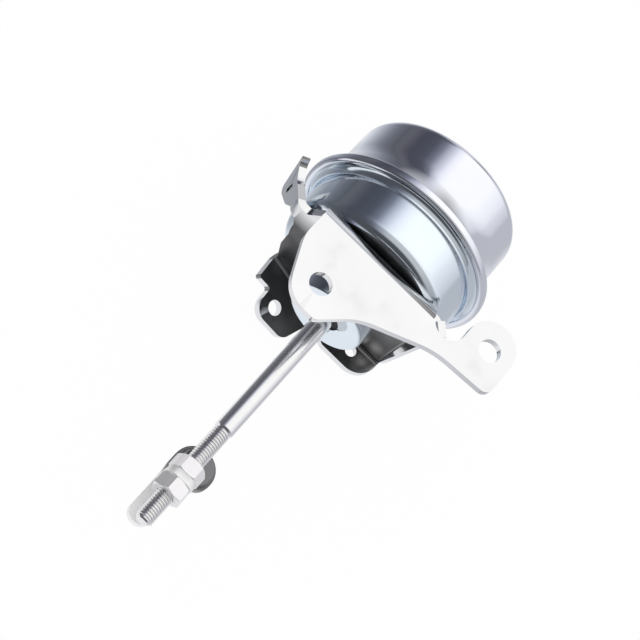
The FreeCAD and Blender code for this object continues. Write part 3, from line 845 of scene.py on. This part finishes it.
class ACTUATOR_OT_stage(bpy.types.Operator):
    """Set the floor, the light round the object and the camera"""
    bl_idname = "actuator.stage"
    bl_label = "Stage"

    def execute(self, context):
        size = context.scene.actuator_stage
        self.floor(size)
        self.surroundings()
        self.key_light(size)
        self.camera()
        context.scene.view_settings.view_transform = "Standard"
        return {"FINISHED"}

    def floor(self, size):
        """Plain floor that shows white, with the object's shadow."""
        reach = size.floor_reach
        level = FLOOR_HEIGHT - FLOOR_GAP
        corners = [(x, y, level) for x, y in ((-reach, -reach), (reach, -reach),
                                              (reach, reach), (-reach, reach))]
        mesh = bpy.data.meshes.new("floor")
        mesh.from_pydata(corners, [], [(0, 1, 2, 3)])
        mesh.materials.append(self.floor_paint(size))
        obj = new_object("floor", mesh)

    def floor_paint(self, size):
        """White to the eye, and a soft gradient in the metal's reflections."""
        material = bpy.data.materials.new("floor_paint")
        material.use_nodes = True
        material.node_tree.nodes.clear()
        nodes = Nodes(material.node_tree)
        path = nodes.add("ShaderNodeLightPath").outputs
        parts = nodes.parts(nodes.add("ShaderNodeTexCoord").outputs["Object"])
        across = nodes.span(parts["X"], CAN_AXIS.x - GLOW_REACH, CAN_AXIS.x + GLOW_REACH)
        along = nodes.span(parts["Y"], ALONG_START, ALONG_END)
        glow = nodes.ramp(across, FLOOR_GLOW)
        for across_stops, along_stops, colour in FLOOR_PATCHES:
            amount = nodes.math("MULTIPLY", nodes.ramp(across, across_stops),
                                nodes.ramp(along, along_stops))
            glow = nodes.mix(amount, glow, solid(colour))
        paint = nodes.add("ShaderNodeBsdfDiffuse", {"Color": solid(FLOOR_PAINT)})
        white = nodes.add("ShaderNodeEmission", {"Color": solid(1.0), "Strength": 1.0})
        seen = nodes.add("ShaderNodeMixShader", {
            0: nodes.math("MULTIPLY", path["Is Camera Ray"], size.floor_white),
            1: paint.outputs[0], 2: white.outputs[0]})
        mirrored = nodes.add("ShaderNodeEmission", {"Color": glow, "Strength": 1.0})
        both = nodes.add("ShaderNodeMixShader", {
            0: path["Is Glossy Ray"], 1: seen.outputs[0], 2: mirrored.outputs[0]})
        nodes.add("ShaderNodeOutputMaterial", {"Surface": both.outputs[0]})
        return material

    def surroundings(self):
        """Plain white room, which metal sees as bands of light round the rod's axis."""
        world = bpy.data.worlds.new("studio")
        bpy.context.scene.world = world
        world.use_nodes = True
        world.node_tree.nodes.clear()
        nodes = Nodes(world.node_tree)
        parts = nodes.parts(nodes.add("ShaderNodeTexCoord").outputs["Generated"])
        angle = nodes.math("ARCTAN2", parts["Z"], parts["X"])
        turn = nodes.span(angle, -math.pi, math.pi)
        bands = nodes.ramp(turn, [((degrees + 180) / 360, colour)
                                  for degrees, colour in SKY_BANDS])
        ends = nodes.ramp(nodes.math("MULTIPLY_ADD", parts["Y"], 0.5, 0.5), SKY_ENDS)
        behind = nodes.math(
            "MULTIPLY", nodes.math("MULTIPLY_ADD", parts["X"], DUSK_SLOPE, DUSK_SHIFT),
            nodes.math("GREATER_THAN", parts["Y"], DUSK_START))
        bands = nodes.mix(ends, bands, nodes.ramp(behind, DUSK))
        path = nodes.add("ShaderNodeLightPath").outputs
        lit = nodes.add("ShaderNodeBackground", {"Color": bands, "Strength": SKY_STRENGTH})
        white = nodes.add("ShaderNodeBackground", {"Color": solid(1.0), "Strength": 1.0})
        both = nodes.add("ShaderNodeMixShader", {
            0: path["Is Glossy Ray"], 1: white.outputs[0], 2: lit.outputs[0]})
        nodes.add("ShaderNodeOutputWorld", {"Surface": both.outputs[0]})

    def key_light(self, size):
        """Soft lamp above and beyond the closed end, turned to a point on the rod's axis."""
        lamp = bpy.data.lights.new("overhead", "AREA")
        lamp.shape = "DISK"
        lamp.size = size.key_size
        lamp.energy = size.key_power
        obj = link(bpy.data.objects.new("overhead", lamp))
        place = Vector((CAN_AXIS.x, 0, CAN_AXIS.z)) + LAMP_OFFSET
        turned = LAMP_OFFSET.to_track_quat("Z", "Y").to_matrix().to_4x4()
        obj.matrix_world = Matrix.Translation(place) @ turned

    def camera(self):
        lens = bpy.data.cameras.new("view")
        lens.sensor_width = SENSOR_WIDTH
        lens.lens = LENS
        lens.clip_start = CLIP_START
        obj = link(bpy.data.objects.new("view", lens))
        ahead = CAMERA_RIGHT.cross(CAMERA_DOWN)
        turned = Matrix((CAMERA_RIGHT, -CAMERA_DOWN, -ahead)).transposed().to_4x4()
        obj.matrix_world = Matrix.Translation(CAMERA_PLACE) @ turned
        bpy.context.scene.camera = obj


STEPS = (ACTUATOR_OT_cans, ACTUATOR_OT_bracket, ACTUATOR_OT_rod, ACTUATOR_OT_fittings,
         ACTUATOR_OT_inside, ACTUATOR_OT_stage)

SETTINGS = {
    "actuator_cans": CanSettings,
    "actuator_rod": RodSettings,
    "actuator_bracket": BracketSettings,
    "actuator_stage": StageSettings,
}


class ACTUATOR_PT_sidebar(bpy.types.Panel):
    """Lists the actuator's steps and settings"""
    bl_idname = "ACTUATOR_PT_sidebar"
    bl_label = "Actuator"
    bl_space_type = "VIEW_3D"
    bl_region_type = "UI"
    bl_category = "Actuator"

    def draw(self, context):
        for step in STEPS:
            self.layout.operator(step.bl_idname)
        for name in SETTINGS:
            group = getattr(context.scene, name)
            for key in group.bl_rna.properties.keys():
                if key not in ("rna_type", "name"):
                    self.layout.prop(group, key)


def register():
    for name, group in SETTINGS.items():
        bpy.utils.register_class(group)
        setattr(bpy.types.Scene, name, bpy.props.PointerProperty(type=group))
    for item in (*STEPS, ACTUATOR_PT_sidebar):
        bpy.utils.register_class(item)


def unregister():
    for item in (*STEPS, ACTUATOR_PT_sidebar):
        bpy.utils.unregister_class(item)
    for name, group in SETTINGS.items():
        delattr(bpy.types.Scene, name)
        bpy.utils.unregister_class(group)


def main():
    register()
    bpy.ops.actuator.cans()
    bpy.ops.actuator.bracket()
    bpy.ops.actuator.rod()
    bpy.ops.actuator.fittings()
    bpy.ops.actuator.inside()
    bpy.ops.actuator.stage()


if __name__ == "__main__":
    main()
